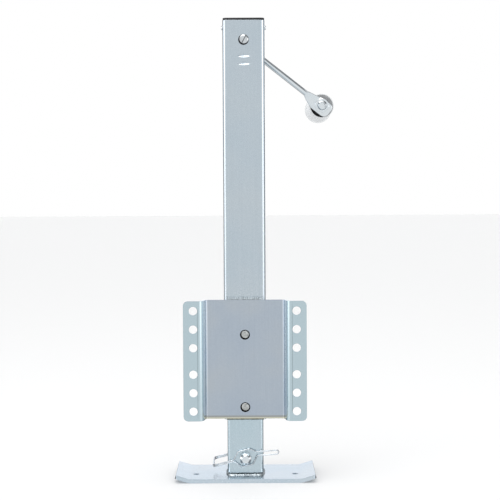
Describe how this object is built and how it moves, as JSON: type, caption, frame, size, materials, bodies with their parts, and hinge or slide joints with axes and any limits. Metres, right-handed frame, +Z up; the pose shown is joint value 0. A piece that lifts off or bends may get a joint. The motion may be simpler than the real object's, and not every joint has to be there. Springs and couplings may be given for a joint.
{
  "type": "drop leg trailer jack",
  "caption": "Square tube trailer jack with a side crank, a pinned drop leg with a wide foot, and a hat section mounting bracket.",
  "frame": {"origin": "centre of the foot's underside, on the axis that the square tubes share", "axes": "+Z up along the tubes, -Y out of the mounting bracket's bolting faces, +Y towards the crank, +X towards the side that the crank hangs on"},
  "size_m": [0.2278, 0.2233, 0.6385],
  "materials": {
    "zinc_plate": "bright bluish zinc plate over drawn steel",
    "weld_bead": "plated weld metal, slightly yellow",
    "machined_steel": "turned steel",
    "gear_steel": "cut steel, lightly oiled",
    "hardened_steel": "ground and polished",
    "bronze": "turned bronze",
    "spring_wire": "plated spring wire",
    "black_plastic": "moulded, fine satin",
    "white_plastic": "moulded, smooth"
  },
  "bodies": {
    "housing": {"outer_tube": "zinc_plate", "mounting_bracket": "zinc_plate", "bracket_welds": "weld_bead", "plug_welds": "weld_bead", "top_cap": "black_plastic", "cap_screws": "zinc_plate", "thrust_plate": "machined_steel", "bearing_race_upper": "hardened_steel", "bearing_balls": "hardened_steel", "shaft_bush": "bronze"},
    "crank": {"crank_shaft": "machined_steel", "arm_spacer": "zinc_plate", "drive_pinion": "gear_steel", "pinion_pin": "hardened_steel", "crank_arm": "zinc_plate", "crank_nut": "zinc_plate", "grip_bolt": "zinc_plate", "grip_nut": "zinc_plate"},
    "grip": {"grip": "white_plastic", "grip_bush": "black_plastic"},
    "screw": {"lead_screw": "machined_steel", "driven_gear": "gear_steel", "gear_pin": "hardened_steel", "bearing_race_lower": "hardened_steel", "screw_stop_washer": "zinc_plate", "screw_stop_pin": "hardened_steel"},
    "ram": {"ram_tube": "zinc_plate", "lead_nut": "bronze"},
    "lock_pin": {"lock_pin": "zinc_plate"},
    "wire_lock": {"wire_lock": "spring_wire"},
    "drop_leg": {"drop_leg_tube": "zinc_plate", "foot_plate": "zinc_plate", "foot_weld": "weld_bead"}
  },
  "joints": [
    {"name": "crank_turn", "type": "hinge", "parent": "housing", "child": "crank", "pos_m": [0, 0.044, 0.6085], "axis": [0, -1, 0], "range_deg": [0, 48600]},
    {"name": "grip_spin", "type": "hinge", "parent": "crank", "child": "grip", "pos_m": [0.11073, 0.1, 0.52137], "axis": [0, 1, 0], "continuous": true},
    {"name": "screw_spin", "type": "hinge", "parent": "housing", "child": "screw", "pos_m": [0, 0, 0.5], "axis": [0, 0, -1], "range_deg": [0, 32400]},
    {"name": "ram_slide", "type": "slide", "parent": "housing", "child": "ram", "axis": [0, 0, -1], "range_m": [0, 0.381]},
    {"name": "drop_leg_slide", "type": "slide", "parent": "ram", "child": "drop_leg", "axis": [0, 0, -1], "range_m": [0, 0.2286]},
    {"name": "pin_pull", "type": "slide", "parent": "ram", "child": "lock_pin", "axis": [0, 1, 0], "range_m": [0, 0.068]},
    {"name": "wire_swing", "type": "hinge", "parent": "lock_pin", "child": "wire_lock", "pos_m": [0, 0.0314, 0.0305], "axis": [0.2419, 0, -0.9703], "range_deg": [0, 110], "deforming": ["wire_lock"]}
  ],
  "couplings": [
    {"joint": "screw_spin", "follows": "crank_turn", "ratio": 0.66667},
    {"joint": "ram_slide", "follows": "crank_turn", "m_per_rad": 0.00044917},
    {"joint": "wire_swing", "follows": "pin_pull", "rad_per_m": 28.233}
  ]
}
